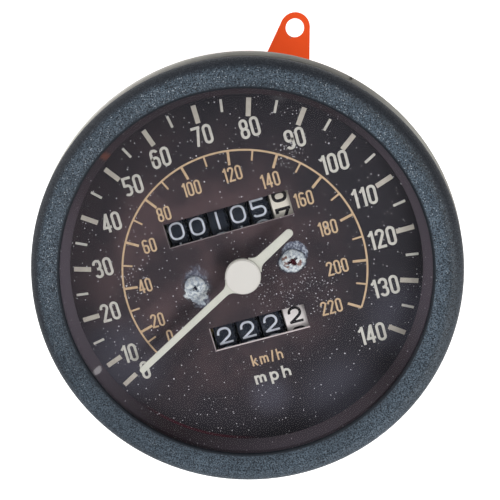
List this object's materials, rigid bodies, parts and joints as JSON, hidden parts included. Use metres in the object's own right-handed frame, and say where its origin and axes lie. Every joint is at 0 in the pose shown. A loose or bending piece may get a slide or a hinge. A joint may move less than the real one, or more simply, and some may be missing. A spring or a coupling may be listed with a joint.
{
  "type": "motorcycle speedometer",
  "caption": "Round cable-driven speedometer with a mph and km/h dial, odometer and trip meter drums, in a crimped cup with a side lug, rear studs and a reset knob.",
  "frame": {"origin": "on the dial's axis, in the plane of the cup's flat rear face, where the cable nipple leaves it", "axes": "+Z along the dial's axis, out of the dial towards the reader; +Y towards the dial's 12 o'clock; +X to the dial's 3 o'clock"},
  "size_m": [0.1028, 0.1093, 0.0772],
  "materials": {
    "bezel_black": "fine-grained black plastic, weathered blue-grey",
    "glass_clear": "clear flat glass, slightly dusty",
    "rubber_black": "matt",
    "ring_dark": "satin dark",
    "dial_black": "satin black-brown, printed, dusty",
    "screw_zinc": "zinc plated, oxidised and rusting",
    "pointer_cream": "pale greenish cream",
    "steel_bright": "ground",
    "aluminium_thin": "spun",
    "bronze": "sintered",
    "frame_cast": "die-cast, dull",
    "magnet_dark": "sintered",
    "steel_mild": "dull",
    "brass_gear": "machined",
    "drum_black": "printed white figures",
    "drum_cream": "printed black figures",
    "pinion_natural": "moulded",
    "knob_black": "fluted",
    "case_grey": "matt warm grey",
    "zinc": "zinc plated",
    "bracket_orange": "orange enamel"
  },
  "bodies": {
    "case": {"case_cup": "case_grey", "bezel_ring": "bezel_black", "glass": "glass_clear", "glass_gasket": "rubber_black", "spacer_ring": "ring_dark", "dial_plate": "dial_black", "dial_screws": "screw_zinc", "spindle_bush": "bronze", "movement_frame": "frame_cast", "drive_bush": "bronze", "odo_shaft": "steel_bright", "odo_pinion_rod": "steel_bright", "trip_pinion_rod": "steel_bright", "hairspring": "bronze", "movement_screws": "zinc", "mounting_studs": "zinc", "mounting_bracket": "bracket_orange", "stud_washers": "zinc", "stud_nuts": "zinc"},
    "pointer": {"pointer": "pointer_cream", "pointer_spindle": "steel_bright", "speed_cup": "aluminium_thin"},
    "drive": {"drive_shaft": "steel_bright", "magnet": "magnet_dark", "return_cup": "steel_mild"},
    "cross_shaft": {"cross_shaft": "brass_gear"},
    "odo_lay_shaft": {"odo_lay_shaft": "brass_gear"},
    "trip_lay_shaft": {"trip_lay_shaft": "brass_gear"},
    "odo_drum_1": {"odo_drum_1": "drum_cream"},
    "odo_drum_2": {"odo_drum_2": "drum_black"},
    "odo_drum_3": {"odo_drum_3": "drum_black"},
    "odo_drum_4": {"odo_drum_4": "drum_black"},
    "odo_drum_5": {"odo_drum_5": "drum_black"},
    "odo_drum_6": {"odo_drum_6": "drum_black"},
    "odo_pinion_1": {"odo_pinion_1": "pinion_natural"},
    "odo_pinion_2": {"odo_pinion_2": "pinion_natural"},
    "odo_pinion_3": {"odo_pinion_3": "pinion_natural"},
    "odo_pinion_4": {"odo_pinion_4": "pinion_natural"},
    "odo_pinion_5": {"odo_pinion_5": "pinion_natural"},
    "trip_drum_1": {"trip_drum_1": "drum_cream"},
    "trip_drum_2": {"trip_drum_2": "drum_black"},
    "trip_drum_3": {"trip_drum_3": "drum_black"},
    "trip_drum_4": {"trip_drum_4": "drum_black"},
    "trip_pinion_1": {"trip_pinion_1": "pinion_natural"},
    "trip_pinion_2": {"trip_pinion_2": "pinion_natural"},
    "trip_pinion_3": {"trip_pinion_3": "pinion_natural"},
    "reset": {"reset_shaft": "steel_bright", "reset_knob": "knob_black"},
    "trip_shaft": {"trip_shaft": "brass_gear"}
  },
  "joints": [
    {"name": "pointer_turn", "type": "hinge", "parent": "case", "child": "pointer", "pos_m": [0, 0, 0.053], "axis": [0, 0, -1], "range_deg": [0, 248], "stiffness_Nm_per_rad": 0.00004, "deforming": ["hairspring"]},
    {"name": "drive_turn", "type": "hinge", "parent": "case", "child": "drive", "pos_m": [0, 0, 0], "axis": [0, 0, -1], "continuous": true},
    {"name": "cross_turn", "type": "hinge", "parent": "case", "child": "cross_shaft", "pos_m": [0.01314, 0, 0.0116], "axis": [0, 1, 0], "continuous": true},
    {"name": "odo_lay_turn", "type": "hinge", "parent": "case", "child": "odo_lay_shaft", "pos_m": [0.01826, 0.02002, 0], "axis": [0, 0, 1], "continuous": true},
    {"name": "trip_lay_turn", "type": "hinge", "parent": "case", "child": "trip_lay_shaft", "pos_m": [0.01826, -0.02062, 0], "axis": [0, 0, 1], "continuous": true},
    {"name": "odo_drum_1_turn", "type": "hinge", "parent": "case", "child": "odo_drum_1", "pos_m": [0, 0.0134, 0.0434], "axis": [-1, 0, 0], "continuous": true},
    {"name": "odo_drum_2_turn", "type": "hinge", "parent": "case", "child": "odo_drum_2", "pos_m": [0, 0.0134, 0.0434], "axis": [-1, 0, 0], "continuous": true},
    {"name": "odo_drum_3_turn", "type": "hinge", "parent": "case", "child": "odo_drum_3", "pos_m": [0, 0.0134, 0.0434], "axis": [-1, 0, 0], "continuous": true},
    {"name": "odo_drum_4_turn", "type": "hinge", "parent": "case", "child": "odo_drum_4", "pos_m": [0, 0.0134, 0.0434], "axis": [-1, 0, 0], "continuous": true},
    {"name": "odo_drum_5_turn", "type": "hinge", "parent": "case", "child": "odo_drum_5", "pos_m": [0, 0.0134, 0.0434], "axis": [-1, 0, 0], "continuous": true},
    {"name": "odo_drum_6_turn", "type": "hinge", "parent": "case", "child": "odo_drum_6", "pos_m": [0, 0.0134, 0.0434], "axis": [-1, 0, 0], "continuous": true},
    {"name": "odo_pinion_1_turn", "type": "hinge", "parent": "case", "child": "odo_pinion_1", "pos_m": [0, 0.0134, 0.03285], "axis": [1, 0, 0], "continuous": true},
    {"name": "odo_pinion_2_turn", "type": "hinge", "parent": "case", "child": "odo_pinion_2", "pos_m": [0, 0.0134, 0.03285], "axis": [1, 0, 0], "continuous": true},
    {"name": "odo_pinion_3_turn", "type": "hinge", "parent": "case", "child": "odo_pinion_3", "pos_m": [0, 0.0134, 0.03285], "axis": [1, 0, 0], "continuous": true},
    {"name": "odo_pinion_4_turn", "type": "hinge", "parent": "case", "child": "odo_pinion_4", "pos_m": [0, 0.0134, 0.03285], "axis": [1, 0, 0], "continuous": true},
    {"name": "odo_pinion_5_turn", "type": "hinge", "parent": "case", "child": "odo_pinion_5", "pos_m": [0, 0.0134, 0.03285], "axis": [1, 0, 0], "continuous": true},
    {"name": "trip_drum_1_turn", "type": "hinge", "parent": "case", "child": "trip_drum_1", "pos_m": [0, -0.014, 0.0434], "axis": [-1, 0, 0], "continuous": true},
    {"name": "trip_drum_2_turn", "type": "hinge", "parent": "case", "child": "trip_drum_2", "pos_m": [0, -0.014, 0.0434], "axis": [-1, 0, 0], "continuous": true},
    {"name": "trip_drum_3_turn", "type": "hinge", "parent": "case", "child": "trip_drum_3", "pos_m": [0, -0.014, 0.0434], "axis": [-1, 0, 0], "continuous": true},
    {"name": "trip_drum_4_turn", "type": "hinge", "parent": "case", "child": "trip_drum_4", "pos_m": [0, -0.014, 0.0434], "axis": [-1, 0, 0], "continuous": true},
    {"name": "trip_pinion_1_turn", "type": "hinge", "parent": "case", "child": "trip_pinion_1", "pos_m": [0, -0.014, 0.03285], "axis": [1, 0, 0], "continuous": true},
    {"name": "trip_pinion_2_turn", "type": "hinge", "parent": "case", "child": "trip_pinion_2", "pos_m": [0, -0.014, 0.03285], "axis": [1, 0, 0], "continuous": true},
    {"name": "trip_pinion_3_turn", "type": "hinge", "parent": "case", "child": "trip_pinion_3", "pos_m": [0, -0.014, 0.03285], "axis": [1, 0, 0], "continuous": true},
    {"name": "reset_turn", "type": "hinge", "parent": "case", "child": "reset", "pos_m": [-0.02921, -0.014, 0], "axis": [0, 0, 1], "continuous": true},
    {"name": "trip_shaft_turn", "type": "hinge", "parent": "case", "child": "trip_shaft", "pos_m": [0, -0.014, 0.0434], "axis": [1, 0, 0], "continuous": true}
  ],
  "couplings": [
    {"joint": "cross_turn", "follows": "drive_turn", "ratio": 0.04},
    {"joint": "odo_lay_turn", "follows": "drive_turn", "ratio": 0.004},
    {"joint": "trip_lay_turn", "follows": "drive_turn", "ratio": 0.004},
    {"joint": "odo_drum_1_turn", "follows": "drive_turn", "ratio": 0.00044444},
    {"joint": "odo_drum_2_turn", "follows": "drive_turn", "ratio": 0.000044444},
    {"joint": "odo_drum_3_turn", "follows": "drive_turn", "ratio": 0.0000044444},
    {"joint": "odo_drum_4_turn", "follows": "drive_turn", "ratio": 0.00000044444},
    {"joint": "odo_drum_5_turn", "follows": "drive_turn", "ratio": 0.000000044444},
    {"joint": "odo_drum_6_turn", "follows": "drive_turn", "ratio": 0.0000000044444},
    {"joint": "odo_pinion_1_turn", "follows": "drive_turn", "ratio": 0.00011111},
    {"joint": "odo_pinion_2_turn", "follows": "drive_turn", "ratio": 0.000011111},
    {"joint": "odo_pinion_3_turn", "follows": "drive_turn", "ratio": 0.0000011111},
    {"joint": "odo_pinion_4_turn", "follows": "drive_turn", "ratio": 0.00000011111},
    {"joint": "odo_pinion_5_turn", "follows": "drive_turn", "ratio": 0.000000011111},
    {"joint": "trip_drum_1_turn", "follows": "drive_turn", "ratio": 0.00044444},
    {"joint": "trip_drum_2_turn", "follows": "drive_turn", "ratio": 0.000044444},
    {"joint": "trip_drum_3_turn", "follows": "drive_turn", "ratio": 0.0000044444},
    {"joint": "trip_drum_4_turn", "follows": "drive_turn", "ratio": 0.00000044444},
    {"joint": "trip_pinion_1_turn", "follows": "drive_turn", "ratio": 0.00011111},
    {"joint": "trip_pinion_2_turn", "follows": "drive_turn", "ratio": 0.000011111},
    {"joint": "trip_pinion_3_turn", "follows": "drive_turn", "ratio": 0.0000011111},
    {"joint": "trip_shaft_turn", "follows": "reset_turn", "ratio": 1.5}
  ]
}
